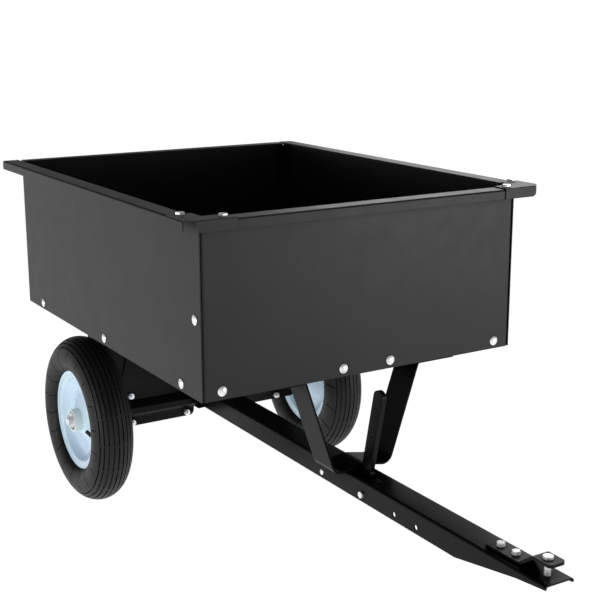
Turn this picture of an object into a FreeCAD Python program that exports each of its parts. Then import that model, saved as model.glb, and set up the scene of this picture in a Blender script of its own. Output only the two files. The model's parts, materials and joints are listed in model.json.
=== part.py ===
import FreeCAD, Part
import math
import os
from FreeCAD import Vector

# Tow behind garden cart: a steel bed that tips about its axle, on a channel tongue with a hitch.
# Frame: +X forward to the hitch, +Y to the cart's left, +Z up, ground at Z = 0.
# The origin is the middle of the cart's bounding box, on the ground. Millimetres throughout.

# ---------------------------------------------------------------- driving dimensions
HALF_LENGTH = 772.5          # rear rim and tongue tip are this far from the origin
BED_HALF_WIDTH = 372.0       # outer face of a side panel
BED_REAR = -746.0            # rear edge of the side panels
BED_FRONT = 202.0            # outer face of the front panel
BED_BOTTOM = 452.0           # lower edge of the panels
RIM_TOP = 803.0              # top face of the rolled rim
RIM_WIDTH = 39.5             # how far the rim stands out from a panel
RIM_DEPTH = 20.0             # height of the rim's turned-down lip
PANEL = 2.0                  # panel sheet thickness
PANEL_BEND = 3.0             # bend radius at the sheet's middle

AXLE_X = -520.0
AXLE_Z = 200.0               # also the tyre's outer radius, so the tyres stand on the ground
TRACK_HALF = 321.0           # centre plane of a tyre
SPINDLE_RADIUS = 10.0
AXLE_TUBE_RADIUS = 16.0
AXLE_TUBE_END = 281.5
SPINDLE_END = 374.0

TONGUE_HALF_WIDTH = 32.0
TONGUE_TOP = 236.5
TONGUE_BOTTOM = 191.0
TONGUE_SHEET = 3.0
TONGUE_TIP = HALF_LENGTH
TAPER_START = 534.0          # where the walls begin to get shallower
EAR_RADIUS = 23.0            # rounded rear ends of the walls, round the axle
BUSH_RADIUS = 18.5

STAND_REAR = 119.0
STAND_WIDTH = 72.0
STAND_SHEET = 4.0
FOOT_TOP = 450.0             # underside of the floor pan

BRACKET_SHEET = 3.0
BRACKET_INNER = 35.5
BRACKET_OUTER = 264.0
HITCH_SHEET = 6.0
PIN_X = 742.0
PIN_RADIUS = 6.0

LEVER_PIVOT_X = 234.0
LEVER_PIVOT_Z = 206.0
SPRING_ANCHOR_X = 84.0
ACCESSORY_HOLES_X = (345.0, 416.0)
CROSS_BOLT_Z = 204.0
ACCESSORY_HOLE_RADIUS = 5.25

RUNNING_GAP = 0.05           # radial clearance of a shaft in its bearing
BOLT_GAP = 0.3               # radial clearance of a bolt in its hole
X = Vector(1, 0, 0)
Y = Vector(0, 1, 0)
Z = Vector(0, 0, 1)
SIDES = (("left", 1.0), ("right", -1.0))


# ---------------------------------------------------------------- small geometry helpers
def box(x0, x1, y0, y1, z0, z1):
    return Part.makeBox(x1 - x0, y1 - y0, z1 - z0, Vector(x0, y0, z0))


def rod(start, direction, radius, length):
    return Part.makeCylinder(radius, length, start, direction)


def tube(start, direction, outer, inner, length):
    return rod(start, direction, outer, length).cut(rod(start, direction, inner, length))


def fuse(shapes):
    return shapes[0].multiFuse(shapes[1:]).removeSplitter()


def group(shapes):
    return Part.makeCompound(shapes)


def mirrored(shape):
    """The same piece on the other side of the centre plane."""
    return shape.mirror(Vector(0, 0, 0), Y)


def on_side(shape, side):
    """A piece modelled on the left, kept there or mirrored to the right."""
    return shape if side > 0 else mirrored(shape)


def in_plane(plane, u, v, w):
    """A point with coordinates u, v in a plane and w along the plane's normal."""
    if plane == "XZ":
        return Vector(u, w, v)
    if plane == "YZ":
        return Vector(w, u, v)
    return Vector(u, v, w)


def edges_of(pieces, plane, w):
    """Line pieces (p, q) and arc pieces (p, middle, q) as edges in a plane."""
    edges = []
    for piece in pieces:
        points = [in_plane(plane, u, v, w) for u, v in piece]
        if len(points) == 2:
            edges.append(Part.LineSegment(*points).toShape())
        else:
            edges.append(Part.Arc(*points).toShape())
    return edges


def extrude(pieces, plane, start, stop):
    face = Part.Face(Part.Wire(edges_of(pieces, plane, start)))
    origin = in_plane(plane, 0, 0, 0)
    return face.extrude(in_plane(plane, 0, 0, stop - start) - origin)


def unit(p, q):
    length = math.hypot(q[0] - p[0], q[1] - p[1])
    return ((q[0] - p[0]) / length, (q[1] - p[1]) / length)


def bend_at(before, corner, after, radius):
    """Tangent points, centre and turning side of an arc that rounds a corner."""
    d1, d2 = unit(before, corner), unit(corner, after)
    turn = math.atan2(d1[0] * d2[1] - d1[1] * d2[0], d1[0] * d2[0] + d1[1] * d2[1])
    reach = radius * math.tan(abs(turn) / 2)
    side = math.copysign(1.0, turn)
    start = (corner[0] - d1[0] * reach, corner[1] - d1[1] * reach)
    end = (corner[0] + d2[0] * reach, corner[1] + d2[1] * reach)
    centre = (start[0] - d1[1] * radius * side, start[1] + d1[0] * radius * side)
    return start, end, centre, side


def on_circle(centre, through, radius):
    d = unit(centre, through)
    return (centre[0] + d[0] * radius, centre[1] + d[1] * radius)


def bent_sheet(path, thickness, bend, plane, start, stop):
    """Sheet metal folded along a path of its middle line. A corner is (u, v), or (u, v, radius)
    where its bend isn't the usual one."""
    sides = {1: [], -1: []}
    here = path[0]
    for before, corner, after in zip(path, path[1:], path[2:]):
        mid_radius = corner[2] if len(corner) == 3 else bend
        enter, leave, centre, turn = bend_at(before, corner, after, mid_radius)
        direction = unit(before, corner)
        middle = ((enter[0] + leave[0]) / 2, (enter[1] + leave[1]) / 2)
        for side, pieces in sides.items():
            shift = side * thickness / 2
            n = (-direction[1] * shift, direction[0] * shift)
            pieces.append(((here[0] + n[0], here[1] + n[1]), (enter[0] + n[0], enter[1] + n[1])))
            radius = mid_radius - turn * shift
            pieces.append(tuple(on_circle(centre, p, radius) for p in (enter, middle, leave)))
        here = leave
    direction = unit(path[-2], path[-1])
    for side, pieces in sides.items():
        shift = side * thickness / 2
        n = (-direction[1] * shift, direction[0] * shift)
        pieces.append(((here[0] + n[0], here[1] + n[1]), (path[-1][0] + n[0], path[-1][1] + n[1])))
    back = [tuple(reversed(piece)) for piece in reversed(sides[-1])]
    outline = sides[1] + [(sides[1][-1][-1], back[0][0])] + back + [(back[-1][-1], sides[1][0][0])]
    return extrude(outline, plane, start, stop)


def plate(corners, plane, start, stop):
    """A flat plate; each corner is (u, v) or (u, v, rounding radius)."""
    pieces = []
    first = None
    here = None
    count = len(corners)
    for i, corner in enumerate(corners):
        point = corner[:2]
        enter = leave = point
        arc = None
        if len(corner) == 3:
            before, after = corners[i - 1][:2], corners[(i + 1) % count][:2]
            enter, leave, centre, _ = bend_at(before, point, after, corner[2])
            middle = ((enter[0] + leave[0]) / 2, (enter[1] + leave[1]) / 2)
            arc = (enter, on_circle(centre, middle, corner[2]), leave)
        if here is None:
            first = enter
        else:
            pieces.append((here, enter))
        if arc:
            pieces.append(arc)
        here = leave
    pieces.append((here, first))
    return extrude(pieces, plane, start, stop)


def spun(start, steps, side):
    """A ring about the axle. Its section is given as (outboard from the tyre's centre plane, radius);
    a step is the next corner, or (middle, end) of an arc."""
    pieces = []
    here = start
    for step in steps:
        if isinstance(step[0], tuple):
            pieces.append((here, step[0], step[1]))
            here = step[1]
        else:
            pieces.append((here, step))
            here = step
    if here != start:
        pieces.append((here, start))
    face = Part.Face(Part.Wire(edges_of(pieces, "YZ", 0)))
    ring = face.revolve(Vector(0, 0, 0), Y, 360)
    ring.translate(Vector(AXLE_X, TRACK_HALF, AXLE_Z))
    return on_side(ring, side)


def aimed(shape, seat, direction):
    """Moves a shape built along +Z at the origin to a seat, pointing along a direction."""
    shape = shape.copy()
    shape.Placement = FreeCAD.Placement(seat, FreeCAD.Rotation(Z, direction))
    return shape


def hexagon(flats, height):
    """A hexagonal prism with its top corners turned down, as on a nut or bolt head."""
    corner = flats / math.sqrt(3)
    points = [Vector(corner * math.cos(a), corner * math.sin(a), 0)
              for a in (math.radians(60 * i + 30) for i in range(7))]
    prism = Part.Face(Part.makePolygon(points)).extrude(Vector(0, 0, height))
    cone = Part.makeCone(corner + height, flats / 2 - 0.2, height + (corner + 0.2 - flats / 2) / 2)
    return prism.common(cone)


def hex_bolt(seat, direction, shank, flats, head, length):
    """seat: where the head meets the work. direction: from the head along the shank."""
    body = hexagon(flats, head)
    shaft = Part.makeCylinder(shank, length, Vector(0, 0, -length))
    shape = body.fuse(shaft).removeSplitter()
    return aimed(shape, seat, direction * -1)


def round_bolt(seat, direction, shank, head_radius, head, length):
    """A carriage bolt with a low domed head."""
    rise = head * 0.72
    ball = (head_radius ** 2 + rise ** 2) / (2 * rise)
    dome = Part.makeSphere(ball, Vector(0, 0, head - ball))
    body = Part.makeCylinder(head_radius, head, Vector(0, 0, 0)).common(dome)
    shaft = Part.makeCylinder(shank, length, Vector(0, 0, -length))
    shape = body.fuse(shaft).removeSplitter()
    return aimed(shape, seat, direction * -1)


def lock_nut(seat, direction, shank, flats, height):
    """A hexagonal nut with a round collar for its nylon ring."""
    collar = Part.makeCylinder(flats / 2 - 0.6, height)
    body = hexagon(flats, height * 0.72).fuse(collar)
    shape = body.cut(Part.makeCylinder(shank + RUNNING_GAP, height)).removeSplitter()
    return aimed(shape, seat, direction)


def drill(shape, seats, direction, radius, depth):
    """Holes through a shape, each centred on a seat and running half the depth either way."""
    cutters = [rod(seat - direction * (depth / 2), direction, radius, depth) for seat in seats]
    return shape.cut(cutters[0].multiFuse(cutters[1:]) if len(cutters) > 1 else cutters[0])


def save(name, shape):
    shape.exportStep("parts/" + name + ".step")


# ---------------------------------------------------------------- where the fasteners go
M8 = 4.0                     # shank radii
M10 = 5.0
PANEL_BOLT_HEAD = 9.8
SIDE_BOLT_X = (-645.5, -266.0, 114.5)
SIDE_BOLT_Z = 467.0
EDGE_BOLT = (178.5, 607.5)   # ties each side panel to the front panel's return
FRONT_BOLT_Y = (330.0, 57.0, -57.0, -330.0)
FRONT_BOLT_Z = 469.0
CORNER_BOLTS = ((169.0, 392.0), (222.0, 332.0))
FOOT_BOLTS = ((155.0, 165.0), (155.0, 208.0))
CLAMP_BOLTS = ((208.0, 236.0), (70.0, 236.0), (206.0, 167.0), (57.0, 167.0))
BRACKET_TOP_BOLTS = (70.0, 180.0)
BRACKET_TOP_OFFSET = 20.0
HITCH_BOLT_X = (623.0, 663.0)


# ---------------------------------------------------------------- bed
def side_panel(side):
    """Side sheet with a rim turned outward and down along its top edge."""
    middle = BED_HALF_WIDTH - PANEL / 2
    crown = RIM_TOP - PANEL / 2
    outer = BED_HALF_WIDTH + RIM_WIDTH - PANEL / 2
    path = [(middle, BED_BOTTOM), (middle, crown), (outer, crown), (outer, RIM_TOP - RIM_DEPTH)]
    sheet = bent_sheet(path, PANEL, PANEL_BEND, "YZ", -HALF_LENGTH, BED_FRONT + 16.0)
    web = (BED_HALF_WIDTH - PANEL - 1, BED_HALF_WIDTH + PANEL_BEND)
    top = RIM_TOP - PANEL - 1.5
    sheet = sheet.cut(box(-HALF_LENGTH - 1, BED_REAR, web[0], web[1], BED_BOTTOM - 1, top))
    sheet = sheet.cut(box(BED_FRONT, BED_FRONT + 30, web[0], web[1], BED_BOTTOM - 1, top))
    holes = [Vector(x, middle, SIDE_BOLT_Z) for x in SIDE_BOLT_X]
    holes.append(Vector(EDGE_BOLT[0], middle, EDGE_BOLT[1]))
    sheet = drill(sheet, holes, Y, M8 + BOLT_GAP, 3 * PANEL)
    corner = Vector(CORNER_BOLTS[0][0], CORNER_BOLTS[0][1], crown)
    sheet = drill(sheet, [corner], Z, M10 + BOLT_GAP, 3 * PANEL)
    return on_side(sheet, side)


def front_panel():
    """Front sheet: returns folded back inside the side panels, and the same rim along the top."""
    inner = BED_HALF_WIDTH - PANEL * 1.5
    face = BED_FRONT - PANEL / 2
    crown = RIM_TOP - PANEL / 2
    return_depth = 44.0
    returns = [(BED_FRONT - return_depth, inner), (face, inner), (face, -inner),
               (BED_FRONT - return_depth, -inner)]
    wall = bent_sheet(returns, PANEL, 6.0, "XY", BED_BOTTOM, crown - PANEL_BEND)
    rim_path = [(face, crown - PANEL_BEND - 4), (face, crown),
                (BED_FRONT + RIM_WIDTH - PANEL / 2, crown),
                (BED_FRONT + RIM_WIDTH - PANEL / 2, RIM_TOP - RIM_DEPTH)]
    rim_end = BED_HALF_WIDTH - 6.0
    rim = bent_sheet(rim_path, PANEL, PANEL_BEND, "XZ", -rim_end, rim_end)
    sheet = fuse([wall, rim])
    holes = [Vector(face, y, FRONT_BOLT_Z) for y in FRONT_BOLT_Y]
    sheet = drill(sheet, holes, X, M8 + BOLT_GAP, 3 * PANEL)
    edge = [Vector(EDGE_BOLT[0], s * inner, EDGE_BOLT[1]) for s in (1, -1)]
    sheet = drill(sheet, edge, Y, M8 + BOLT_GAP, 3 * PANEL)
    top = [Vector(CORNER_BOLTS[1][0], s * CORNER_BOLTS[1][1], crown) for s in (1, -1)]
    return drill(sheet, top, Z, M10 + BOLT_GAP, 3 * PANEL)


def floor_pan():
    """Floor sheet with edges turned up inside the side and front panels, and pressed-up ribs."""
    wall = BED_HALF_WIDTH - PANEL * 1.5
    floor = BED_BOTTOM - PANEL / 2
    edge_top = BED_BOTTOM + 28.0
    rear = BED_REAR + 2.0
    front_edge = BED_FRONT - PANEL * 1.5
    section = [(wall, edge_top), (wall, floor), (-wall, floor), (-wall, edge_top)]
    pan = bent_sheet(section, PANEL, PANEL_BEND, "YZ", rear, BED_FRONT - 48.0)
    front_section = [(BED_FRONT - 49.0, floor), (front_edge, floor), (front_edge, edge_top)]
    front = bent_sheet(front_section, PANEL, PANEL_BEND, "XZ", -wall + 6, wall - 6)
    rib = plate([(0, 0, 6), (0, 26, 6), (620, 26, 6), (620, 0, 6)], "XY", BED_BOTTOM - 0.5, BED_BOTTOM + 2.5)
    ribs = []
    for y in (-260.0, -130.0, 0.0, 130.0, 260.0):
        raised = rib.copy()
        raised.translate(Vector(BED_REAR + 120, y - 13, 0))
        ribs.append(raised)
    pan = fuse([pan, front] + ribs)
    for s in (1, -1):
        low, high = sorted((s * (wall - 18), s * (wall + 2)))
        pan = pan.cut(box(rear - 1, BED_REAR + 12, low, high, BED_BOTTOM, edge_top + 1))
    side_holes = [Vector(x, s * wall, SIDE_BOLT_Z) for x in SIDE_BOLT_X for s in (1, -1)]
    pan = drill(pan, side_holes, Y, M8 + BOLT_GAP, 3 * PANEL)
    front_holes = [Vector(front_edge, y, FRONT_BOLT_Z) for y in FRONT_BOLT_Y]
    pan = drill(pan, front_holes, X, M8 + BOLT_GAP, 3 * PANEL)
    down = [Vector(x, s * y, floor) for x, y in FOOT_BOLTS for s in (1, -1)]
    down += [Vector(AXLE_X + e * BRACKET_TOP_OFFSET, s * y, floor)
             for y in BRACKET_TOP_BOLTS for s in (1, -1) for e in (1, -1)]
    return drill(pan, down, Z, M8 + BOLT_GAP, 14.0)


GUIDE_REAR = BED_REAR + 1.0
GUIDE_SLOT = 5.0
GUIDE_TOP = RIM_TOP - 6.0


def tailgate_guide(side):
    """Upright channel welded inside a side panel; the tailgate's edge runs in its slot."""
    wall = BED_HALF_WIDTH - PANEL * 1.5
    front_leg = GUIDE_REAR + PANEL * 1.5 + GUIDE_SLOT
    rear_leg = GUIDE_REAR + PANEL / 2
    path = [(rear_leg, wall - 15), (rear_leg, wall), (front_leg, wall), (front_leg, wall - 15)]
    channel = bent_sheet(path, PANEL, 1.6, "XY", BED_BOTTOM + 2, GUIDE_TOP)
    wing = box(front_leg, front_leg + 34, wall - PANEL / 2, wall + PANEL / 2, BED_BOTTOM + 31, GUIDE_TOP)
    return on_side(fuse([channel, wing]), side)


def tailgate():
    """Lift-out rear gate: a sheet in the guides, with a rim turned rearward as its handle."""
    face = GUIDE_REAR + PANEL + GUIDE_SLOT / 2
    half = BED_HALF_WIDTH - PANEL * 2 - 3.0
    crown = RIM_TOP - PANEL / 2
    lip = -HALF_LENGTH + PANEL / 2
    path = [(face, BED_BOTTOM + 3), (face, crown), (lip, crown), (lip, RIM_TOP - RIM_DEPTH)]
    sheet = bent_sheet(path, PANEL, PANEL_BEND, "XZ", -half, half)
    stiffener = bent_sheet([(face - 1, 520), (face - 9, 534), (face - 9, 566), (face - 1, 580)],
                           PANEL, 4.0, "XZ", -half + 30, half - 30)
    return fuse([sheet, stiffener])


def corner_bracket(side):
    """Angle plate bolted over a front corner of the rim, with its own turned-down front lip."""
    thick = 2.5
    lip_face = BED_FRONT + RIM_WIDTH + 2.0
    outer = BED_HALF_WIDTH + RIM_WIDTH
    corners = [(BED_FRONT - 47, outer), (226.0, outer, 2), (lip_face, 396.0, 2), (lip_face, 314.0, 1),
               (BED_FRONT + 2, 316.0, 1), (BED_FRONT + 1, BED_HALF_WIDTH - 5, 3),
               (BED_FRONT - 38, BED_HALF_WIDTH - 5, 1)]
    top = plate(corners, "XY", RIM_TOP, RIM_TOP + thick)
    lip_corners = [(314.0, RIM_TOP + thick), (314.0, RIM_TOP - RIM_DEPTH), (396.0, RIM_TOP - RIM_DEPTH, 9),
                   (396.0, RIM_TOP + thick)]
    lip = plate(lip_corners, "YZ", BED_FRONT + RIM_WIDTH, lip_face)
    bracket = fuse([top, lip])
    upper = [e for e in bracket.Edges
             if abs(e.BoundBox.XMin - lip_face) < 0.01 and abs(e.BoundBox.XMax - lip_face) < 0.01
             and abs(e.BoundBox.ZMin - RIM_TOP - thick) < 0.01]
    bracket = bracket.makeFillet(1.6, upper)
    holes = [Vector(x, y, RIM_TOP) for x, y in CORNER_BOLTS]
    return on_side(drill(bracket, holes, Z, M10 + BOLT_GAP, 12.0), side)


def latch_stand():
    """Folded strap under the bed's front. Its arms come down in a V and its foot arches over the
    rest on the tongue."""
    foot = FOOT_TOP - STAND_SHEET / 2
    half = [(229.0, foot), (137.6, foot, 6), (66.7, 238.7, 22)]
    path = half + [(0.0, 252.0, 40)] + [(-corner[0], *corner[1:]) for corner in reversed(half)]
    strap = bent_sheet(path, STAND_SHEET, 6.0, "YZ", STAND_REAR, STAND_REAR + STAND_WIDTH)
    holes = [Vector(x, s * y, foot) for x, y in FOOT_BOLTS for s in (1, -1)]
    return drill(strap, holes, Z, M8 + BOLT_GAP, 12.0)


def axle_bracket(side, facing):
    """Pressed plate below the floor: its bulge holds the axle tube. Front and rear plates face
    each other and are bolted together above and below the tube. The rear one is wider above the
    axle, and its outer edge is folded rearward as a brace."""
    mid = BRACKET_SHEET / 2
    bulge = AXLE_TUBE_RADIUS + mid + 0.1
    reach = bulge * math.sqrt(2) - mid
    bottom = AXLE_Z - 44
    section = [(mid + 34, FOOT_TOP - mid), (mid, FOOT_TOP - mid), (mid, AXLE_Z + reach),
               (bulge, AXLE_Z + reach - bulge + mid), (bulge, AXLE_Z - reach + bulge - mid),
               (mid, AXLE_Z - reach), (mid, bottom + 1)]
    sheet = bent_sheet(section, BRACKET_SHEET, 4.0, "XZ", BRACKET_INNER, BRACKET_OUTER)
    if facing > 0:
        shoulder = [(BRACKET_OUTER, 238, 8), (228, 284, 10), (186, FOOT_TOP + 1)]
    else:
        shoulder = [(BRACKET_OUTER, FOOT_TOP + 1)]
    outline = [(BRACKET_INNER, bottom, 15), (BRACKET_OUTER, bottom, 15)] + shoulder
    sheet = sheet.common(plate(outline + [(BRACKET_INNER, FOOT_TOP + 1)], "YZ", -1, 60))
    if facing < 0:
        brace = plate([(0, 262, 4), (0, FOOT_TOP), (122, FOOT_TOP), (122, 352, 12), (44, 300, 30)], "XZ",
                      BRACKET_OUTER - BRACKET_SHEET, BRACKET_OUTER)
        sheet = fuse([sheet, brace])
    clamp = [Vector(mid, y, z) for y, z in CLAMP_BOLTS]
    sheet = drill(sheet, clamp, X, M8 + BOLT_GAP, 8.0)
    floor = [Vector(BRACKET_TOP_OFFSET, y, FOOT_TOP - mid) for y in BRACKET_TOP_BOLTS]
    sheet = drill(sheet, floor, Z, M8 + BOLT_GAP, 8.0)
    if facing < 0:
        sheet = sheet.mirror(Vector(0, 0, 0), X)
    sheet.translate(Vector(AXLE_X, 0, 0))
    return on_side(sheet, side)


def axle():
    """Axle tube with a turned spindle at each end, cross-drilled for a split pin."""
    centre = Vector(AXLE_X, 0, AXLE_Z)
    body = rod(centre - Y * AXLE_TUBE_END, Y, AXLE_TUBE_RADIUS, 2 * AXLE_TUBE_END)
    spindle = rod(centre - Y * SPINDLE_END, Y, SPINDLE_RADIUS, 2 * SPINDLE_END)
    shape = body.fuse(spindle)
    ends = [e for e in shape.Edges if abs(abs(e.BoundBox.YMin) - SPINDLE_END) < 0.01
            and abs(e.BoundBox.YMax - e.BoundBox.YMin) < 0.01]
    shape = shape.makeChamfer(1.5, ends)
    holes = [Vector(AXLE_X, s * COTTER_Y, AXLE_Z) for s in (1, -1)]
    return drill(shape, holes, Z, 2.0, 60.0)


# ---------------------------------------------------------------- fasteners of the bed
def panel_bolts():
    """Domed bolts through the side and front panels into the floor pan and the front returns."""
    bolts = []
    for s in (1, -1):
        spots = [(x, SIDE_BOLT_Z) for x in SIDE_BOLT_X] + [EDGE_BOLT]
        for x, z in spots:
            seat = Vector(x, s * BED_HALF_WIDTH, z)
            bolts.append(round_bolt(seat, Y * -s, M8, PANEL_BOLT_HEAD, 4.2, 16.0))
    for y in FRONT_BOLT_Y:
        seat = Vector(BED_FRONT, y, FRONT_BOLT_Z)
        bolts.append(round_bolt(seat, X * -1, M8, PANEL_BOLT_HEAD, 4.2, 16.0))
    return group(bolts)


def panel_nuts():
    nuts = []
    inside = BED_HALF_WIDTH - 2 * PANEL
    for s in (1, -1):
        spots = [(x, SIDE_BOLT_Z) for x in SIDE_BOLT_X] + [EDGE_BOLT]
        for x, z in spots:
            nuts.append(lock_nut(Vector(x, s * inside, z), Y * -s, M8, 13.0, 8.0))
    for y in FRONT_BOLT_Y:
        nuts.append(lock_nut(Vector(BED_FRONT - 2 * PANEL, y, FRONT_BOLT_Z), X * -1, M8, 13.0, 8.0))
    return group(nuts)


def corner_bolts():
    return group([hex_bolt(Vector(x, s * y, RIM_TOP + 2.5), Z * -1, M10, 16.0, 4.8, 16.0)
                  for x, y in CORNER_BOLTS for s in (1, -1)])


def corner_nuts():
    return group([lock_nut(Vector(x, s * y, RIM_TOP - PANEL), Z * -1, M10, 16.0, 9.0)
                  for x, y in CORNER_BOLTS for s in (1, -1)])


def foot_bolts():
    """Low domed heads inside the bed, nuts under the stand's feet."""
    return group([round_bolt(Vector(x, s * y, BED_BOTTOM), Z * -1, M8, 9.0, 3.5, 18.0)
                  for x, y in FOOT_BOLTS for s in (1, -1)])


def foot_nuts():
    return group([lock_nut(Vector(x, s * y, FOOT_TOP - STAND_SHEET), Z * -1, M8, 13.0, 8.0)
                  for x, y in FOOT_BOLTS for s in (1, -1)])


def bracket_floor_spots():
    return [(AXLE_X + e * BRACKET_TOP_OFFSET, s * y)
            for y in BRACKET_TOP_BOLTS for s in (1, -1) for e in (1, -1)]


def bracket_floor_bolts():
    return group([round_bolt(Vector(x, y, BED_BOTTOM), Z * -1, M8, 9.0, 3.5, 18.0)
                  for x, y in bracket_floor_spots()])


def bracket_floor_nuts():
    return group([lock_nut(Vector(x, y, FOOT_TOP - BRACKET_SHEET), Z * -1, M8, 13.0, 8.0)
                  for x, y in bracket_floor_spots()])


def clamp_bolts():
    """Bolts that close each pair of axle brackets round the axle tube, heads to the rear."""
    return group([hex_bolt(Vector(AXLE_X - BRACKET_SHEET, s * y, z), X, M8, 13.0, 5.3, 20.0)
                  for y, z in CLAMP_BOLTS for s in (1, -1)])


def clamp_nuts():
    return group([lock_nut(Vector(AXLE_X + BRACKET_SHEET, s * y, z), X, M8, 14.0, 9.0)
                  for y, z in CLAMP_BOLTS for s in (1, -1)])


# ---------------------------------------------------------------- wheels
BEARING_RADIUS = 23.5
BEARING_WIDTH = 14.0
BEARING_OUTER_FACE = 37.0
HUB_RADIUS = 27.0
HUB_HALF = 41.0
WASHER_RADIUS = 17.0
WASHER_THICK = 2.5
COTTER_Y = TRACK_HALF + BEARING_OUTER_FACE + WASHER_THICK + 4.0
BEAD_SEAT = 102.6
RIM_SHEET = 2.0
TYRE_HALF_WIDTH = 49.0
TYRE_MID = 151.5


def tyre(side):
    """Ribbed wheelbarrow tyre: beads on the rim, round sidewalls, nine grooves round the tread."""
    bead = 27.3
    foot = BEAD_SEAT + RIM_SHEET / 2 + 0.1
    wall = 8.0
    start = (bead - 2, foot)
    steps = [(bead, foot + 2), (bead, 118.5), ((41.6, 131.0), (TYRE_HALF_WIDTH, TYRE_MID)),
             ((TYRE_HALF_WIDTH * math.sin(math.radians(45)), TYRE_MID + 48.5 * math.sin(math.radians(45))),
              (0.0, AXLE_Z)),
             ((-TYRE_HALF_WIDTH * math.sin(math.radians(45)), TYRE_MID + 48.5 * math.sin(math.radians(45))),
              (-TYRE_HALF_WIDTH, TYRE_MID)),
             ((-41.6, 131.0), (-bead, 118.5)), (-bead, foot + 2), (-bead + 2, foot), (-bead + 8, foot), (-bead + 8, 116.0),
             ((-35.0, 134.0), (-TYRE_HALF_WIDTH + wall, TYRE_MID)),
             ((0.0, AXLE_Z - wall), (TYRE_HALF_WIDTH - wall, TYRE_MID)),
             ((35.0, 134.0), (bead - 8, 116.0)), (bead - 8, foot)]
    ring = spun(start, steps, side)
    grooves = []
    for step in range(-4, 5):
        turn = math.radians(3.5 + 13.45 * step)
        across, outward = math.cos(turn), math.sin(turn)
        crown = (TYRE_HALF_WIDTH * outward, TYRE_MID + (AXLE_Z - TYRE_MID) * across)
        corners = [(crown[0] + w * across + h * outward, crown[1] - w * outward + h * across)
                   for w, h in ((-1.2, -4.2), (-1.6, 2.0), (1.6, 2.0), (1.2, -4.2))]
        grooves.append(spun(corners[0], corners[1:], side))
    return ring.cut(grooves[0].multiFuse(grooves[1:]))


def inner_tube(side):
    centre = Vector(AXLE_X, side * TRACK_HALF, AXLE_Z)
    return Part.makeTorus(TYRE_MID, 38.0, centre, Y).cut(Part.makeTorus(TYRE_MID, 35.5, centre, Y))


def rim_half(side, outboard):
    """One pressed half of a wheel: flange, bead seat and disc, raised round the hub."""
    t = RIM_SHEET / 2
    path = [(30.4, 119.3), (28.4, 112.0), (28.4, BEAD_SEAT), (4.0, BEAD_SEAT), (t + 0.05, 92.0),
            (t + 0.05, 68.0), (14.0, 46.0), (20.0, 37.0), (23.0, HUB_RADIUS + 0.4)]
    section = bent_sheet([(outboard * s, r) for s, r in path], RIM_SHEET, 2.5, "YZ", 0, 1)
    face = [f for f in section.Faces if f.CenterOfMass.x < 0.01][0]
    ring = face.revolve(Vector(0, 0, 0), Y, 360)
    ring.translate(Vector(AXLE_X, TRACK_HALF, AXLE_Z))
    if outboard > 0:
        foot, up = valve_axis()
        ring = ring.cut(rod(foot - up * 12, up, 5.2, 30.0))
    return on_side(ring, side)


VALVE_ANGLE = 17.0           # below horizontal, towards the front
VALVE_FOOT = (13.0, 106.0)   # outboard from the tyre's centre plane, and radius
VALVE_TIP = (24.0, 54.0)


def valve_axis():
    """The foot of the left wheel's valve stem and the direction it points."""
    angle = math.radians(VALVE_ANGLE)
    radial = Vector(math.cos(angle), 0, -math.sin(angle))
    centre = Vector(AXLE_X, TRACK_HALF, AXLE_Z)
    foot, tip = [centre + Y * s + radial * r for s, r in (VALVE_FOOT, VALVE_TIP)]
    return foot, (tip - foot).normalize()


def valve_stem(side):
    """Rubber stem through the rim, pointing at the hub, with a cap."""
    foot, up = valve_axis()
    stem = rod(foot, up, 4.2, 38.0)
    base = Part.makeCone(5.1, 4.2, 12.0, foot, up)
    cap = rod(foot + up * 35, up, 4.8, 17.0)
    return on_side(fuse([stem, base, cap]), side)


def hub(side):
    seat = BEARING_OUTER_FACE
    ridge = BEARING_OUTER_FACE - BEARING_WIDTH
    return spun((HUB_HALF, HUB_RADIUS), [(-HUB_HALF, HUB_RADIUS), (-HUB_HALF, BEARING_RADIUS),
                                         (-ridge, BEARING_RADIUS), (-ridge, 20.0), (ridge, 20.0),
                                         (ridge, BEARING_RADIUS), (seat, BEARING_RADIUS),
                                         (HUB_HALF, BEARING_RADIUS)], side)


def bearings(side):
    """Two sealed ball bearings, each an inner ring, a shielded gap and an outer ring."""
    rings = []
    for end in (1, -1):
        a = end * BEARING_OUTER_FACE
        b = end * (BEARING_OUTER_FACE - BEARING_WIDTH)
        dip = end * 1.2
        bore = SPINDLE_RADIUS + RUNNING_GAP
        rings.append(spun((a, bore), [(a, 13.4), (a - dip, 13.9), (a - dip, 19.6), (a, 20.1),
                                      (a, BEARING_RADIUS), (b, BEARING_RADIUS), (b, 20.1),
                                      (b + dip, 19.6), (b + dip, 13.9), (b, 13.4), (b, bore)], side))
    return group(rings)


def outer_washers():
    start = TRACK_HALF + BEARING_OUTER_FACE + 0.2
    return group([tube(Vector(AXLE_X, s * start, AXLE_Z), Y * s, WASHER_RADIUS, SPINDLE_RADIUS + 0.3,
                       WASHER_THICK) for s in (1, -1)])


def inner_washers():
    start = TRACK_HALF - BEARING_OUTER_FACE - 0.2
    length = start - AXLE_TUBE_END
    return group([tube(Vector(AXLE_X, s * start, AXLE_Z), Y * -s, WASHER_RADIUS, SPINDLE_RADIUS + 0.3,
                       length) for s in (1, -1)])


def split_pins():
    """Split pins across the spindle ends: an eye above, two bent legs below."""
    pins = []
    for s in (1, -1):
        centre = Vector(AXLE_X, s * COTTER_Y, AXLE_Z)
        shaft = rod(centre - Z * 15, Z, 1.7, 29.0)
        eye = Part.makeTorus(4.0, 1.5, centre + Z * 17, Y)
        legs = [rod(centre + Vector(e * 0.4, 0, -13), Vector(e * 3, 0, -2), 1.2, 9.0) for e in (1, -1)]
        pins.append(fuse([shaft, eye] + legs))
    return group(pins)


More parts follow.
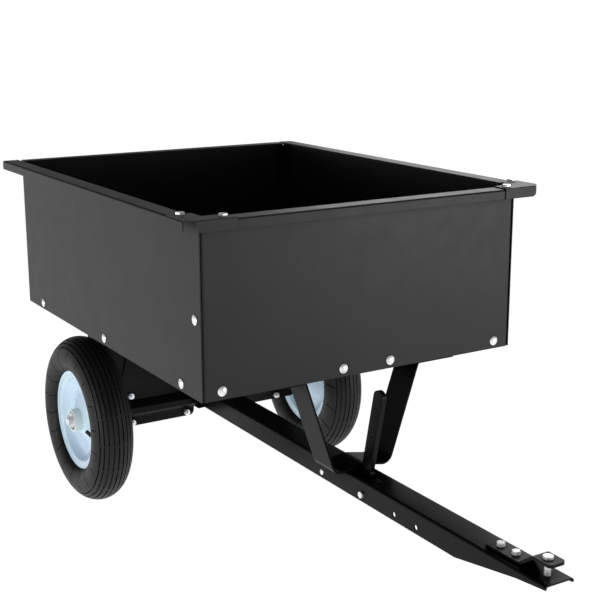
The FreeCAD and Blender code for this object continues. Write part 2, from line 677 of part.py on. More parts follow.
# ---------------------------------------------------------------- tongue
def tongue():
    """Inverted channel. The walls taper to a shallow lip at the hitch and have rounded ears at the
    rear that hang from the axle."""
    mid = TONGUE_SHEET / 2
    wall = TONGUE_HALF_WIDTH - mid
    rear = AXLE_X - EAR_RADIUS
    low = AXLE_Z - EAR_RADIUS
    section = [(wall, low), (wall, TONGUE_TOP - mid), (-wall, TONGUE_TOP - mid), (-wall, low)]
    channel = bent_sheet(section, TONGUE_SHEET, 4.0, "YZ", rear, TONGUE_TIP)
    side_view = [(rear, TONGUE_TOP + 1), (rear, low, EAR_RADIUS - 1), (AXLE_X + EAR_RADIUS, low, 24),
                 (AXLE_X + EAR_RADIUS + 34, TONGUE_BOTTOM, 30), (TAPER_START, TONGUE_BOTTOM, 40),
                 (700.0, 220.5, 60), (TONGUE_TIP, 228.5), (TONGUE_TIP, TONGUE_TOP + 1)]
    channel = channel.common(plate(side_view, "XZ", -40, 40))
    slot = plate([(187, -6.5, 6.4), (262, -6.5, 6.4), (262, 6.5, 6.4), (187, 6.5, 6.4)], "XY",
                 TONGUE_TOP - 8, TONGUE_TOP + 4)
    channel = channel.cut(slot)
    across = 3 * TONGUE_HALF_WIDTH
    channel = drill(channel, [Vector(AXLE_X, 0, AXLE_Z)], Y, BUSH_RADIUS, across)
    channel = drill(channel, [Vector(x, 0, CROSS_BOLT_Z) for x in ACCESSORY_HOLES_X], Y,
                    ACCESSORY_HOLE_RADIUS, across)
    channel = drill(channel, [Vector(LEVER_PIVOT_X, 0, LEVER_PIVOT_Z),
                              Vector(SPRING_ANCHOR_X, 0, CROSS_BOLT_Z)], Y, M8 + BOLT_GAP, across)
    channel = drill(channel, [Vector(x, 0, TONGUE_TOP) for x in HITCH_BOLT_X], Z, M8 + BOLT_GAP, 12.0)
    return drill(channel, [Vector(PIN_X, 0, TONGUE_TOP)], Z, PIN_RADIUS + RUNNING_GAP, 12.0)


def pivot_bush(side):
    """Flanged nylon bush in the tongue's ear, turning on the axle tube."""
    bore = AXLE_TUBE_RADIUS + RUNNING_GAP
    inner = Vector(AXLE_X, TONGUE_HALF_WIDTH - TONGUE_SHEET - 3.0, AXLE_Z)
    sleeve = tube(inner, Y, BUSH_RADIUS, bore, TONGUE_SHEET + 3.0)
    flange = tube(Vector(AXLE_X, TONGUE_HALF_WIDTH, AXLE_Z), Y, 21.0, bore, 2.5)
    return on_side(fuse([sleeve, flange]), side)


def stand_rest():
    """Crowned pad welded on the tongue under the stand's arched foot."""
    half = [(26.0, TONGUE_TOP), (26.0, 244.2), (8.0, 247.7)]
    outline = half + [(-y, z) for y, z in reversed(half)]
    return plate(outline, "YZ", STAND_REAR + 7, STAND_REAR + STAND_WIDTH - 7)


def hitch_bracket():
    """Stepped strap on the tongue's tip. The drawbar goes between it and the tongue."""
    mid = HITCH_SHEET / 2
    low = TONGUE_TOP + mid
    high = low + 25.0
    path = [(602.0, low), (690.0, low), (723.0, high), (767.0, high)]
    strap = bent_sheet(path, HITCH_SHEET, 8.0, "XZ", -18.5, 18.5)
    outline = plate([(601, -18.5, 4), (767, -18.5, 8), (767, 18.5, 8), (601, 18.5, 4)], "XY",
                    TONGUE_TOP - 1, high + 10)
    strap = strap.common(outline)
    strap = drill(strap, [Vector(x, 0, low) for x in HITCH_BOLT_X], Z, M8 + BOLT_GAP, 14.0)
    return drill(strap, [Vector(PIN_X, 0, high)], Z, PIN_RADIUS + RUNNING_GAP, 14.0)


def hitch_bolts():
    return group([hex_bolt(Vector(x, 0, TONGUE_TOP + HITCH_SHEET + 1.6), Z * -1, M8, 14.0, 5.3, 24.0)
                  for x in HITCH_BOLT_X])


def hitch_washers():
    return group([tube(Vector(x, 0, TONGUE_TOP + HITCH_SHEET), Z, 8.0, M8 + BOLT_GAP, 1.6)
                  for x in HITCH_BOLT_X])


def hitch_nuts():
    return group([lock_nut(Vector(x, 0, TONGUE_TOP - TONGUE_SHEET), Z * -1, M8, 13.0, 8.0)
                  for x in HITCH_BOLT_X])


def hitch_pin():
    """Drop-in pin with a flat round head."""
    seat = TONGUE_TOP + HITCH_SHEET + 25.0
    head = rod(Vector(PIN_X, 0, seat), Z, 10.0, 4.5)
    rims = [e for e in head.Edges if abs(e.BoundBox.ZMin - seat - 4.5) < 0.01]
    head = head.makeFillet(1.2, rims)
    shank = rod(Vector(PIN_X, 0, 227.0), Z, PIN_RADIUS, seat - 227.0 + 1)
    tip = [e for e in shank.Edges if abs(e.BoundBox.ZMax - 227.0) < 0.01]
    return head.fuse(shank.makeChamfer(1.5, tip)).removeSplitter()


# ---------------------------------------------------------------- latch
LEVER_HALF = 5.0             # half thickness of the folded lever
LEVER_SHEET = 2.5
LEVER_LEAN = math.tan(math.radians(12.9))


def latch_lever():
    """Folded lever on the tongue's cross bolt. It rises through the slot, just ahead of the stand,
    and leans forward. It is open at its rear edge."""
    web = TONGUE_TOP
    top = 426.0
    depth = 32.0
    rear = STAND_REAR + STAND_WIDTH + 1.2
    lean = LEVER_LEAN * (top - web)
    outline = [(rear, web), (rear + 6, 212.0, 4), (LEVER_PIVOT_X - 8, 193.0, 8), (LEVER_PIVOT_X + 13, 193.0, 11),
               (LEVER_PIVOT_X + 13, 217.0, 8), (rear + depth, web + 6, 10),
               (rear + depth + lean, top, 14), (rear + lean, top, 14)]
    body = plate(outline, "XZ", -LEVER_HALF, LEVER_HALF)
    hollow_outline = [(rear - 20, web), (rear - 20, 180.0), (LEVER_PIVOT_X - 14, 180.0),
                      (rear + depth - LEVER_SHEET, web + 8, 8),
                      (rear + depth + lean - LEVER_SHEET - 8, top - 24, 8),
                      (rear + lean - 14, top - 24)]
    inner = LEVER_HALF - LEVER_SHEET
    body = body.cut(plate(hollow_outline, "XZ", -inner, inner))
    pivot = Vector(LEVER_PIVOT_X, 0, LEVER_PIVOT_Z)
    body = drill(body, [pivot], Y, M8 + RUNNING_GAP, 30.0)
    marks = [Vector(rear + depth / 2 + LEVER_LEAN * (z - web), 0, z) for z in (322.0, 388.0)]
    body = drill(body, marks, Y, 2.2, 30.0)
    return drill(body, [Vector(SPRING_END, 0, CROSS_BOLT_Z + 13)], Y, 2.0, 30.0)


def lever_spacers():
    """Tubes that keep the lever in the middle of the channel."""
    inner = TONGUE_HALF_WIDTH - TONGUE_SHEET
    length = inner - LEVER_HALF - 0.4
    return group([tube(Vector(LEVER_PIVOT_X, s * inner, LEVER_PIVOT_Z), Y * -s, 7.5, M8 + RUNNING_GAP, length)
                  for s in (1, -1)])


CROSS_SHANK = 2 * TONGUE_HALF_WIDTH + 11


def lever_pivot_bolt():
    """The hexagonal bolt that the lever turns on. Like the anchor bolt, its head is on the right."""
    seat = Vector(LEVER_PIVOT_X, -TONGUE_HALF_WIDTH, LEVER_PIVOT_Z)
    return hex_bolt(seat, Y, M8, 13.0, 4.6, CROSS_SHANK)


def spring_anchor_bolt():
    seat = Vector(SPRING_ANCHOR_X, -TONGUE_HALF_WIDTH, CROSS_BOLT_Z)
    return round_bolt(seat, Y, M8, 6.4, 3.0, CROSS_SHANK)


def cross_nut(x, z):
    return lock_nut(Vector(x, TONGUE_HALF_WIDTH, z), Y, M8, 13.0, 8.0)


SPRING_START = SPRING_ANCHOR_X + 4.0
SPRING_END = 206.0


def lever_spring():
    """Extension spring along the channel from the anchor bolt to the lever."""
    radius, wire, turns = 5.0, 0.9, 34
    first, last = SPRING_START + 22.0, SPRING_END - 14.0
    helix = Part.makeHelix((last - first) / turns, last - first, radius)
    profile = Part.Wire(Part.makeCircle(wire, Vector(radius, 0, 0), Y))
    coil = Part.Wire(helix).makePipeShell([profile], True, True)
    coil.rotate(Vector(0, 0, 0), Y, 90)
    coil.translate(Vector(first, 0, 0))
    ends = [rod(Vector(a, 0, -radius), X, wire - 0.1, b - a)
            for a, b in ((SPRING_START + 1, first + 0.6), (last - 0.6, SPRING_END - 1))]
    spring = coil.multiFuse(ends)
    spring.translate(Vector(0, 0, CROSS_BOLT_Z + radius + 4))
    return spring


# ---------------------------------------------------------------- all the pieces
def write_parts():
    os.makedirs("parts", exist_ok=True)
    for name, side in SIDES:
        save("side_panel_" + name, side_panel(side))
        save("tailgate_guide_" + name, tailgate_guide(side))
        save("corner_bracket_" + name, corner_bracket(side))
        save("axle_bracket_front_" + name, axle_bracket(side, 1))
        save("axle_bracket_rear_" + name, axle_bracket(side, -1))
        save("pivot_bush_" + name, pivot_bush(side))
        save("tyre_" + name, tyre(side))
        save("inner_tube_" + name, inner_tube(side))
        save("rim_outer_half_" + name, rim_half(side, 1))
        save("rim_inner_half_" + name, rim_half(side, -1))
        save("hub_" + name, hub(side))
        save("bearings_" + name, bearings(side))
        save("valve_stem_" + name, valve_stem(side))
    save("front_panel", front_panel())
    save("floor_pan", floor_pan())
    save("tailgate", tailgate())
    save("latch_stand", latch_stand())
    save("axle", axle())
    save("panel_bolts", panel_bolts())
    save("panel_nuts", panel_nuts())
    save("corner_bolts", corner_bolts())
    save("corner_nuts", corner_nuts())
    save("foot_bolts", foot_bolts())
    save("foot_nuts", foot_nuts())
    save("bracket_floor_bolts", bracket_floor_bolts())
    save("bracket_floor_nuts", bracket_floor_nuts())
    save("clamp_bolts", clamp_bolts())
    save("clamp_nuts", clamp_nuts())
    save("outer_washers", outer_washers())
    save("inner_washers", inner_washers())
    save("split_pins", split_pins())
    save("tongue", tongue())
    save("stand_rest", stand_rest())
    save("hitch_bracket", hitch_bracket())
    save("hitch_bolts", hitch_bolts())
    save("hitch_washers", hitch_washers())
    save("hitch_nuts", hitch_nuts())
    save("hitch_pin", hitch_pin())
    save("latch_lever", latch_lever())
    save("lever_spacers", lever_spacers())
    save("lever_pivot_bolt", lever_pivot_bolt())
    save("lever_pivot_nut", cross_nut(LEVER_PIVOT_X, LEVER_PIVOT_Z))
    save("spring_anchor_bolt", spring_anchor_bolt())
    save("spring_anchor_nut", cross_nut(SPRING_ANCHOR_X, CROSS_BOLT_Z))
    save("lever_spring", lever_spring())


write_parts()
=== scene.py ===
import json
import math

import bmesh
import bpy
import numpy as np
from mathutils import Matrix, Vector


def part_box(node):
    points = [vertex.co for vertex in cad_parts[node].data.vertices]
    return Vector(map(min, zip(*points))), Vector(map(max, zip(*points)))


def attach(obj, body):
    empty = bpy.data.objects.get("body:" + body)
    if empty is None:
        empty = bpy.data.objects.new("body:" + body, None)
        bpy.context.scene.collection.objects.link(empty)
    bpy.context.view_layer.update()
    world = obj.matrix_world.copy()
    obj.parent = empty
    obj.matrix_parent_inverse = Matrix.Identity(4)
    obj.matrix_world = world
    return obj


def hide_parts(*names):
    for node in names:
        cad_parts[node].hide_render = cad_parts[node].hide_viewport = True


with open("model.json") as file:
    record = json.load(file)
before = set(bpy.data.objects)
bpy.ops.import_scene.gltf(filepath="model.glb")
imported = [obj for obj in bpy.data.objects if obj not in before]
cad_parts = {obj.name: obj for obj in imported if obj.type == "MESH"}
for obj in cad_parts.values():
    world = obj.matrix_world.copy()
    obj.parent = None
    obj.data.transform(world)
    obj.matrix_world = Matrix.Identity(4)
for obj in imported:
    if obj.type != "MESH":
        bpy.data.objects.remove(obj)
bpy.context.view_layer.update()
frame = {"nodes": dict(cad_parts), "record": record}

SIDES = (("left", 1.0), ("right", -1.0))


# ---------------------------------------------------------------- camera
CAMERA_PLACE = (2.1198, -1.3343, 1.1764)
CAMERA_AZIMUTH = math.radians(58.48)
CAMERA_ELEVATION = math.radians(13.82)
CAMERA_ROLL = math.radians(-0.12)
CAMERA_LENS = 72.47


def camera():
    """Seen from the front right, a little above the bed's rim."""
    back = Vector((math.sin(CAMERA_AZIMUTH) * math.cos(CAMERA_ELEVATION),
                   -math.cos(CAMERA_AZIMUTH) * math.cos(CAMERA_ELEVATION),
                   math.sin(CAMERA_ELEVATION)))
    data = bpy.data.cameras.new("camera")
    data.sensor_width = 36.0
    data.lens = CAMERA_LENS
    data.clip_end = 200.0
    obj = bpy.data.objects.new("camera", data)
    obj.location = CAMERA_PLACE
    turn = back.to_track_quat("Z", "Y").to_matrix() @ Matrix.Rotation(CAMERA_ROLL, 3, "Z")
    obj.rotation_euler = turn.to_euler()
    bpy.context.collection.objects.link(obj)
    bpy.context.scene.camera = obj


# ---------------------------------------------------------------- node helpers
class Nodes:
    """Short forms for building a material's node tree."""

    def __init__(self, name):
        self.material = bpy.data.materials.new(name)
        self.material.use_nodes = True
        self.tree = self.material.node_tree
        self.shader = self.tree.nodes["Principled BSDF"]
        self.coord = self.tree.nodes.new("ShaderNodeTexCoord")

    def link(self, source, target):
        self.tree.links.new(source, target)

    def add(self, kind, **values):
        node = self.tree.nodes.new(kind)
        for key, value in values.items():
            setattr(node, key, value)
        return node

    def mapped(self, scale):
        node = self.add("ShaderNodeMapping")
        node.inputs["Scale"].default_value = scale
        self.link(self.coord.outputs["Object"], node.inputs["Vector"])
        return node.outputs["Vector"]

    def noise(self, scale, detail=3.0, rough=0.55, stretch=(1, 1, 1)):
        node = self.add("ShaderNodeTexNoise")
        node.inputs["Scale"].default_value = scale
        node.inputs["Detail"].default_value = detail
        node.inputs["Roughness"].default_value = rough
        self.link(self.mapped(stretch), node.inputs["Vector"])
        return node.outputs["Fac"]

    def ramp(self, fac, stops):
        """Stops are (place, colour)."""
        node = self.add("ShaderNodeValToRGB")
        ramp = node.color_ramp
        while len(ramp.elements) < len(stops):
            ramp.elements.new(0.5)
        for element, (place, value) in zip(ramp.elements, stops):
            element.position = place
            element.color = (*value, 1)
        self.link(fac, node.inputs["Fac"])
        return node.outputs["Color"]

    def span(self, fac, low, high, start=0.3, end=0.7):
        """Low to high while fac goes from start to end."""
        node = self.add("ShaderNodeMapRange")
        values = (("From Min", start), ("From Max", end), ("To Min", low), ("To Max", high))
        for key, value in values:
            node.inputs[key].default_value = value
        self.link(fac, node.inputs["Value"])
        return node.outputs["Result"]

    def mix(self, fac, a, b):
        """A mix node's colour inputs are its sockets 6 and 7, and its colour output is 2."""
        node = self.add("ShaderNodeMix", data_type="RGBA")
        for key, value in ((0, fac), (6, a), (7, b)):
            if isinstance(value, tuple):
                node.inputs[key].default_value = (*value, 1)
            else:
                self.link(value, node.inputs[key])
        return node.outputs[2]

    def math(self, operation, a, b=None):
        node = self.add("ShaderNodeMath", operation=operation)
        self.link(a, node.inputs[0])
        if isinstance(b, float):
            node.inputs[1].default_value = b
        elif b is not None:
            self.link(b, node.inputs[1])
        return node.outputs[0]

    def rounded(self, radius):
        """The surface's direction with its edges rounded."""
        bevel = self.add("ShaderNodeBevel", samples=6)
        bevel.inputs["Radius"].default_value = radius
        return bevel.outputs["Normal"]

    def edges(self, rounded):
        """1 along the piece's edges, 0 on its flats."""
        geometry = self.add("ShaderNodeNewGeometry")
        dot = self.add("ShaderNodeVectorMath", operation="DOT_PRODUCT")
        self.link(rounded, dot.inputs[0])
        self.link(geometry.outputs["Normal"], dot.inputs[1])
        return self.span(dot.outputs["Value"], 1.0, 0.0, 0.75, 0.99)

    def painted_corner_shade(self, reach, deepest):
        """Painted shade: 1 out in the open, falling to deepest in corners and under lips."""
        node = self.add("ShaderNodeAmbientOcclusion", samples=6)
        node.inputs["Distance"].default_value = reach
        return self.span(node.outputs["AO"], deepest, 1.0, 0.45, 0.97)

    def bump(self, height, distance, strength, normal=None):
        node = self.add("ShaderNodeBump")
        node.inputs["Strength"].default_value = strength
        node.inputs["Distance"].default_value = distance
        self.link(height, node.inputs["Height"])
        if normal is not None:
            self.link(normal, node.inputs["Normal"])
        self.link(node.outputs["Normal"], self.shader.inputs["Normal"])

    def set(self, **values):
        for key, value in values.items():
            self.shader.inputs[key.replace("_", " ")].default_value = value

    def colour(self, socket):
        self.link(socket, self.shader.inputs["Base Color"])

    def rough(self, socket):
        self.link(socket, self.shader.inputs["Roughness"])


def grey(value, blue=1.02):
    return (value, value, value * blue)


# ---------------------------------------------------------------- materials
EDGE_RADIUS = 0.0012          # how far the powder coat rounds an edge
PAINTED_SHADE_REACH = 0.04           # how far from a neighbouring surface the painted shade reaches
COAT_END_RAGGED = 0.0008      # how unevenly a coat ends on a shaft, and over what length
COAT_END_FADE = 0.0006


def powder_coat(name, shade, rough, wear=0.3, specular=0.5):
    """Black powder coat: a fine orange peel, faint cloudiness, edges rubbed paler, and painted
    shade that darkens the coat and weakens its reflection in corners and under lips."""
    n = Nodes(name)
    cloud = n.ramp(n.noise(6.0, 4.0), [(0.3, grey(shade * 0.92)), (0.7, grey(shade * 1.08))])
    scuffs = n.span(n.noise(60.0, 6.0, 0.7), 0.0, 1.0, 0.52, 0.72)
    rounded = n.rounded(EDGE_RADIUS)
    worn = n.math("MULTIPLY", n.math("MULTIPLY", n.edges(rounded), scuffs), wear)
    # painted shade: the coat is painted near black in corners and under lips, and its reflection
    # is weakened there
    clear = n.painted_corner_shade(PAINTED_SHADE_REACH, 0.12)
    n.colour(n.mix(clear, grey(0.001), n.mix(worn, cloud, grey(0.16))))
    n.rough(n.span(n.noise(24.0, 6.0), rough - 0.02, rough + 0.03))
    n.bump(n.noise(1100.0, 2.0), 0.00005, 0.3, rounded)
    n.link(n.math("MULTIPLY", clear, specular), n.shader.inputs["Specular IOR Level"])
    return n.material


def plated(name, value, rough, metallic=0.9):
    """Zinc or bright steel, with a spangle and fine scratches."""
    n = Nodes(name)
    n.set(Metallic=metallic)
    n.colour(n.ramp(n.noise(260.0, 4.0), [(0.3, grey(value * 0.88)), (0.7, grey(value))]))
    scratches = n.noise(600.0, 3.0, stretch=(1, 1, 0.15))
    n.rough(n.span(scratches, rough - 0.05, rough + 0.08))
    n.bump(scratches, 0.00003, 0.3)
    return n.material


def rubber(name, shade, rough, dust, specular=0.5):
    """Moulded rubber: matt, a little dusty, with a fine grain."""
    n = Nodes(name)
    base = n.ramp(n.noise(30.0, 5.0), [(0.3, grey(shade * 0.8)), (0.7, grey(shade * 1.2))])
    film = n.math("MULTIPLY", n.span(n.noise(90.0, 7.0, 0.65), 0.0, 1.0, 0.45, 0.75), dust)
    n.colour(n.mix(film, base, grey(shade * 2.2, 1.04)))
    n.rough(n.span(n.noise(160.0, 4.0), rough - 0.06, rough + 0.08))
    n.bump(n.noise(1300.0, 3.0), 0.00007, 0.35)
    n.set(Specular_IOR_Level=specular)
    return n.material


def enamel(name, dark, light, rough):
    """Gloss enamel on pressed steel, its tint drifting a little across the piece."""
    n = Nodes(name)
    n.colour(n.ramp(n.noise(7.0, 1.0), [(0.3, dark), (0.7, light)]))
    n.rough(n.span(n.noise(45.0, 5.0), rough - 0.03, rough + 0.04))
    n.bump(n.noise(420.0, 2.0), 0.00002, 0.2)
    n.set(Coat_Weight=0.4, Coat_Roughness=0.12)
    return n.material


def machined_ends(name, coated, bare, start):
    """Powder coat that stops at the machined ends of a shaft along Y."""
    n = Nodes(name)
    split = n.add("ShaderNodeSeparateXYZ")
    n.link(n.coord.outputs["Object"], split.inputs[0])
    reach = n.math("ADD", n.math("ABSOLUTE", split.outputs["Y"]),
                   n.math("MULTIPLY", n.noise(300.0, 2.0), COAT_END_RAGGED))
    end = n.span(reach, 0.0, 1.0, start, start + COAT_END_FADE)
    cloud = n.ramp(n.noise(6.0, 4.0), [(0.3, grey(coated * 0.9)), (0.7, grey(coated * 1.1))])
    lathed = n.noise(400.0, 2.0, stretch=(1, 8, 1))
    turned = n.ramp(lathed, [(0.3, grey(bare * 0.85)), (0.7, grey(bare))])
    n.colour(n.mix(end, cloud, turned))
    n.link(n.math("MULTIPLY", end, 0.5), n.shader.inputs["Metallic"])
    n.rough(n.span(n.noise(24.0, 6.0), 0.3, 0.4))
    n.bump(n.noise(1100.0, 2.0), 0.00004, 0.3)
    return n.material


SLOT_MATERIALS = {
    "black_paint": powder_coat("satin_powder_coat", 0.022, 0.42, specular=0.18),
    "black_gloss": powder_coat("chassis_powder_coat", 0.006, 0.28, specular=0.09),
    "black_zinc": plated("black_zinc", 0.06, 0.4, 0.5),
    "zinc": plated("zinc_plate", 1.0, 0.28, 0.5),
    "spring_steel": plated("spring_wire", 0.55, 0.28),
    "tread_rubber": rubber("tyre_rubber", 0.009, 0.48, 0.25, 0.25),
    "soft_rubber": rubber("valve_rubber", 0.009, 0.42, 0.1),
    "rim_paint": enamel("rim_enamel", (0.62, 0.76, 1.0), (0.68, 0.9, 1.0), 0.28),
    "bearing_steel": plated("bearing_steel", 0.7, 0.25),
    "nylon": powder_coat("black_nylon", 0.02, 0.5, 0.1),
}
HUB_ENAMEL = enamel("hub_enamel", (0.82, 0.9, 0.9), (0.9, 0.96, 0.92), 0.3)
SPINDLE_START = 0.283         # where the axle's bare end begins, from its middle
NODE_MATERIALS = {            # nodes that differ a little from the rest of their slot; the stand's coat is a darker copy, as painted shade
    # painted shade: the stand gets a darker, less reflective copy of the chassis coat
    "latch_stand": powder_coat("stand_coat_painted_shade", 0.005, 0.3, specular=0.045),
    "axle": machined_ends("axle_finish", 0.02, 0.9, SPINDLE_START),
    "hub_left": HUB_ENAMEL,
    "hub_right": HUB_ENAMEL,
}


def dress(obj, material):
    obj.data.materials.clear()
    obj.data.materials.append(material)


# ---------------------------------------------------------------- mesh helpers
def piece(name, verts, faces, body, slot_name, replaced, sharp):
    """A mesh piece, in the frame's coordinates, that rides on a body and takes the place of CAD
    nodes. Edges above the angle sharp stay sharp."""
    mesh = bpy.data.meshes.new(name)
    mesh.from_pydata([tuple(vertex) for vertex in verts], [], faces)
    solid = bmesh.new()
    solid.from_mesh(mesh)
    bmesh.ops.recalc_face_normals(solid, faces=solid.faces)
    solid.to_mesh(mesh)
    solid.free()
    mesh.shade_smooth()
    mesh.set_sharp_from_angle(angle=math.radians(sharp))
    obj = bpy.data.objects.new(name, mesh)
    bpy.context.collection.objects.link(obj)
    dress(obj, SLOT_MATERIALS[slot_name])
    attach(obj, body)
    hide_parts(*replaced)


def grid_faces(rows, columns):
    """Quads of a grid of rows x columns points that closes on itself both ways."""
    faces = []
    for i in range(rows):
        below = (i + 1) % rows * columns
        for j in range(columns):
            beside = (j + 1) % columns
            faces.append((i * columns + j, i * columns + beside, below + beside, below + j))
    return faces


def wheel_centre(side_name):
    low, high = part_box("tyre_" + side_name)
    return (Vector(low) + Vector(high)) / 2


def ring(centre, radius, across, angles):
    """Points round a wheel's axis, across being the distance along it from the centre."""
    return np.stack([centre.x + radius * np.cos(angles), centre.y + across + 0 * angles,
                     centre.z + radius * np.sin(angles)], 1)


# ---------------------------------------------------------------- tyres
HALF_WIDTH = 0.049            # the tyre's lengths are in metres
MIDDLE = 0.1515               # radius where the tyre is widest
RADIUS = 0.200
BEAD = 0.0273                 # half the distance between the beads
BEAD_RADIUS = 0.1185
FOOT = 0.1037                 # radius of the bead's foot
FOOT_CHAMFER = 0.002
NECK = 0.116                  # radius where the inside of the tyre begins to widen
WALL = 0.008
RISE = RADIUS - MIDDLE

SECTOR = 20                   # degrees from one bar, and one sidewall line, to the next
LINE_AT = 6.0                 # where the line lies in each sector, in degrees
LINE_POINTS = (-0.45, -0.2, 0.0, 0.2, 0.45)
LINE_SLOPE = 0.28             # degrees over which the line's side falls to its depth
LINE_HALF = 1.6               # half the line's width at the surface, in slopes
LINE_DEPTH = 0.0028
LINE_BOW = math.radians(3.0)  # how far the line bows round the wheel
BOW_START = 0.118             # radius where the bow starts
BOW_LENGTH = 0.066
BAR_AT = 17.0                 # where the bar across the grooves lies in each sector, in degrees
BAR_POINTS = (-0.75, -0.55, 0.55, 0.75)
BAR_HALF = 0.6
BAR_DEPTH = 0.0006            # how far the bar lies below the tread
POINT_GAP = 0.8               # degrees kept free of other points about a line or bar

GROOVES = [0.003 + 0.0115 * i for i in range(-4, 5)]    # along the tread, from its middle
GROOVE_WIDTH = 0.0032
GROOVE_DEPTH = 0.0042
GROOVE_LIP = 0.0008           # from a groove's edge to the next points of its rib
GROOVE_SLOPE = 0.0006         # how far inside its edge a groove reaches its depth
RIB_MIDDLE = 0.0057           # from a groove to the middle of the next rib
INBOARD_SHOULDER = 0.004      # from the first and last groove to the plain shoulders
OUTBOARD_SHOULDER = 0.008


def tyre_section():
    """Points (outboard, radius) round the tyre's section, each with its outward normal, groove
    depth and how much of a sidewall line it carries."""
    rows = []

    def crown(arc, depth=0.0, line=0.0):
        turn = arc / HALF_WIDTH
        normal = (math.sin(turn), math.cos(turn))
        rows.append((HALF_WIDTH * normal[0], MIDDLE + RISE * normal[1], normal, depth, line))

    def side(step, sign):
        turn = step * math.pi / 16
        out = BEAD + (HALF_WIDTH - BEAD) * math.cos(turn)
        radius = MIDDLE - (MIDDLE - BEAD_RADIUS) * math.sin(turn)
        normal = (sign * math.cos(turn), -math.sin(turn))
        rows.append((sign * out, radius, normal, 0.0, 1.0 if 1 < step < 8 else 0.0))

    def inside(out, radius):
        rows.append((out, radius, (0.0, 0.0), 0.0, 0.0))

    quarter = HALF_WIDTH * math.pi / 2
    for step in range(8, 0, -1):
        side(step, -1)
    shoulder = GROOVES[0] - INBOARD_SHOULDER
    for k in range(6):
        crown(-quarter + (shoulder + quarter) * k / 6, line=1.0)
    for groove in GROOVES:
        left, right = groove - GROOVE_WIDTH / 2, groove + GROOVE_WIDTH / 2
        crown(left - GROOVE_LIP)
        crown(left)
        crown(left + GROOVE_SLOPE, GROOVE_DEPTH)
        crown(right - GROOVE_SLOPE, GROOVE_DEPTH)
        crown(right)
        crown(right + GROOVE_LIP)
        crown(groove + RIB_MIDDLE)
    shoulder = GROOVES[-1] + OUTBOARD_SHOULDER
    for k in range(1, 7):
        crown(shoulder + (quarter - shoulder) * k / 6, line=1.0)
    for step in range(1, 9):
        side(step, 1)
    foot = [(BEAD, FOOT + FOOT_CHAMFER), (BEAD - FOOT_CHAMFER, FOOT), (BEAD - WALL, FOOT),
            (BEAD - WALL, NECK)]
    for out, radius in foot:
        inside(out, radius)
    for k in range(9):
        turn = math.pi / 2 - math.pi * k / 8
        inside((HALF_WIDTH - WALL) * math.sin(turn), MIDDLE + (RISE - WALL) * math.cos(turn))
    for out, radius in reversed(foot):
        inside(-out, radius)
    return rows


def tyre(side_name, sign):
    """Ribbed tyre: grooves round the tread, bridged by short bars, and thin curved lines down the
    sidewalls."""
    plain = [a for a in range(SECTOR) if all(abs(a - at) > POINT_GAP for at in (LINE_AT, BAR_AT))]
    offsets = sorted(plain + [LINE_AT + d for d in LINE_POINTS] + [BAR_AT + d for d in BAR_POINTS])
    angles = np.radians([SECTOR * k + a for k in range(360 // SECTOR) for a in offsets])
    within = np.degrees(angles) % SECTOR
    line = LINE_DEPTH * np.clip(LINE_HALF - np.abs(within - LINE_AT) / LINE_SLOPE, 0, 1)
    bar = np.abs(within - BAR_AT) < BAR_HALF
    centre = wheel_centre(side_name)
    rows = tyre_section()
    points = []
    for out, radius, normal, depth, lined in rows:
        along = min(max((radius - BOW_START) / BOW_LENGTH, 0), 1)
        bow = LINE_BOW * lined * math.sin(math.pi * along)
        sunk = np.where(bar, min(depth, BAR_DEPTH), depth) + line * lined
        points.append(ring(centre, radius - sunk * normal[1], sign * (out - sunk * normal[0]),
                           angles + bow))
    faces = grid_faces(len(rows), len(angles))
    piece("ribbed_tyre_" + side_name, np.concatenate(points), faces, side_name + "_wheel",
          "tread_rubber", ("tyre_" + side_name,), sharp=32.0)


# ---------------------------------------------------------------- rims
# outboard from the tyre's centre plane and radius, in mm: flange, bead seat, dish, hub
RIM_FACE = ((31.2, 119.5), (30.4, 117.0), (29.5, 112.0),
            (29.3, 106.5), (27.4, 101.5), (19.5, 95.0),
            (12.8, 87.0), (9.2, 78.0), (8.4, 69.0), (10.8, 60.0), (15.0, 50.0),
            (18.6, 41.0), (21.6, 33.0), (23.4, 27.5))
RIM_SHEET = 2.0               # in mm
RIM_STEPS = 120               # points round the rim


def smooth_line(points, steps):
    """A Catmull-Rom curve through the points."""
    points = np.array(points)
    before, after = 2 * points[:1] - points[1:2], 2 * points[-1:] - points[-2:-1]
    padded = np.concatenate([before, points, after])
    out = []
    for a, b, c, d in zip(padded, padded[1:], padded[2:], padded[3:]):
        for t in np.arange(steps) / steps:
            out.append(0.5 * (2 * b + (c - a) * t + (2 * a - 5 * b + 4 * c - d) * t ** 2
                              + (3 * b - a - 3 * c + d) * t ** 3))
    return np.array(out + [points[-1]])


def dished_rim(side_name, sign, half, facing):
    """One pressed half of a wheel, dished smoothly from its flange to the hub. Facing is 1 for
    the outboard half and -1 for the inboard one."""
    face = smooth_line(RIM_FACE, 4)
    along = np.gradient(face, axis=0)
    along /= np.linalg.norm(along, axis=1)[:, None]
    back = face + RIM_SHEET * np.stack([along[:, 1], -along[:, 0]], 1)
    section = np.concatenate([face, back[::-1]]) / 1000
    centre = wheel_centre(side_name)
    angles = np.linspace(0, 2 * math.pi, RIM_STEPS, endpoint=False)
    points = [ring(centre, radius, sign * facing * out, angles) for out, radius in section]
    faces = grid_faces(len(section), len(angles))
    piece("dished_rim_%s_%s" % (half, side_name), np.concatenate(points), faces,
          side_name + "_wheel", "rim_paint", ("rim_%s_half_%s" % (half, side_name),),
          sharp=50.0)


# ---------------------------------------------------------------- studio
FLOOR_HALF = 60.0
FLOOR_DROP = 0.0005           # keeps it clear of the tyres
FLOOR_GLOW = 0.985
# elevation as the sine of its angle, and brightness
SKY_STOPS = ((0.0, 1.0), (0.05, 1.0), (0.13, 0.42), (0.22, 0.2), (0.36, 0.05), (1.0, 0.02))
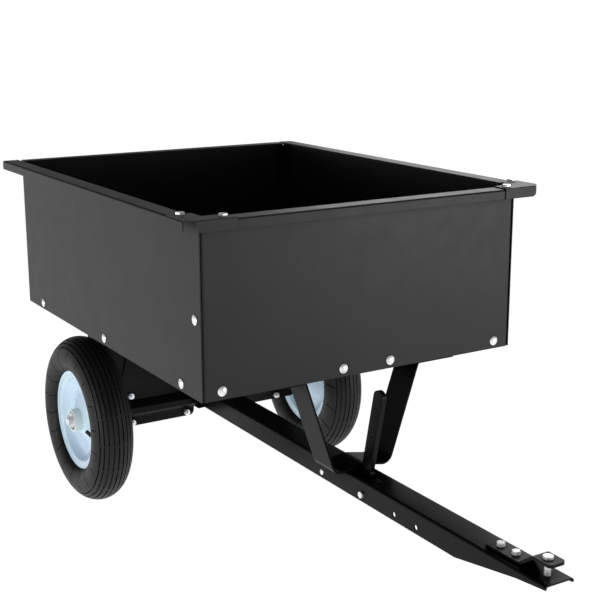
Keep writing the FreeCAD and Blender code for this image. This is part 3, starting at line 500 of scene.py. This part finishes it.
# name, place, aim, width, height, watts
LAMPS = (("right", (-0.4, -3.8, 0.42), (-0.3, 0.0, 0.4), 3.0, 0.7, 34.0),
         ("front", (3.0, 2.2, 0.42), (0.2, 0.3, 0.5), 1.2, 0.7, 36.0),
         ("back", (-1.9, 2.27, 2.25), (0.7, 0.0, 0.25), 2.0, 2.0, 32.0))


def floor():
    """A wide plain ground that glows almost white."""
    mesh = bpy.data.meshes.new("floor")
    corners = ((-1, -1), (1, -1), (1, 1), (-1, 1))
    mesh.from_pydata([(x * FLOOR_HALF, y * FLOOR_HALF, 0) for x, y in corners], [], [(0, 1, 2, 3)])
    ground = bpy.data.objects.new("floor", mesh)
    ground.location.z = -FLOOR_DROP
    bpy.context.collection.objects.link(ground)
    n = Nodes("floor")
    n.colour(n.ramp(n.noise(0.4), [(0.3, grey(0.1, 1.0)), (0.7, grey(0.12, 1.0))]))
    n.set(Roughness=0.9, Specular_IOR_Level=0.1, Emission_Color=(1, 1, 1, 1),
          Emission_Strength=FLOOR_GLOW)
    ground.data.materials.append(n.material)


def sky():
    """White at the horizon and nearly dark overhead."""
    world = bpy.data.worlds.new("world")
    world.use_nodes = True
    tree = world.node_tree
    coord = tree.nodes.new("ShaderNodeTexCoord")
    split = tree.nodes.new("ShaderNodeSeparateXYZ")
    ramp = tree.nodes.new("ShaderNodeValToRGB")
    tree.links.new(coord.outputs["Generated"], split.inputs[0])
    tree.links.new(split.outputs["Z"], ramp.inputs["Fac"])
    while len(ramp.color_ramp.elements) < len(SKY_STOPS):
        ramp.color_ramp.elements.new(0.5)
    for element, (place, value) in zip(ramp.color_ramp.elements, SKY_STOPS):
        element.position = place
        element.color = (value, value, value, 1)
    tree.links.new(ramp.outputs["Color"], tree.nodes["Background"].inputs["Color"])
    bpy.context.scene.world = world


def lamps():
    """Two low, wide softboxes, and one behind that catches the tops of the tongue and bolts. None
    shines on the inner walls of the bed that face the camera."""
    for name, place, aim, width, height, power in LAMPS:
        data = bpy.data.lights.new(name, "AREA")
        data.shape = "RECTANGLE"
        data.size = width
        data.size_y = height
        data.energy = power
        lamp = bpy.data.objects.new(name, data)
        lamp.location = place
        lamp.rotation_euler = (Vector(place) - Vector(aim)).to_track_quat("Z", "Y").to_euler()
        bpy.context.collection.objects.link(lamp)


# ---------------------------------------------------------------- build
camera()
for entry in frame["record"]["subparts"]:
    node, slot_name = entry["node"], entry["material_slot"]
    dress(frame["nodes"][node], NODE_MATERIALS.get(node, SLOT_MATERIALS[slot_name]))
for side_name, sign in SIDES:
    tyre(side_name, sign)
    dished_rim(side_name, sign, "outer", 1)
    dished_rim(side_name, sign, "inner", -1)
floor()
sky()
lamps()
bpy.context.scene.view_settings.view_transform = "Standard"
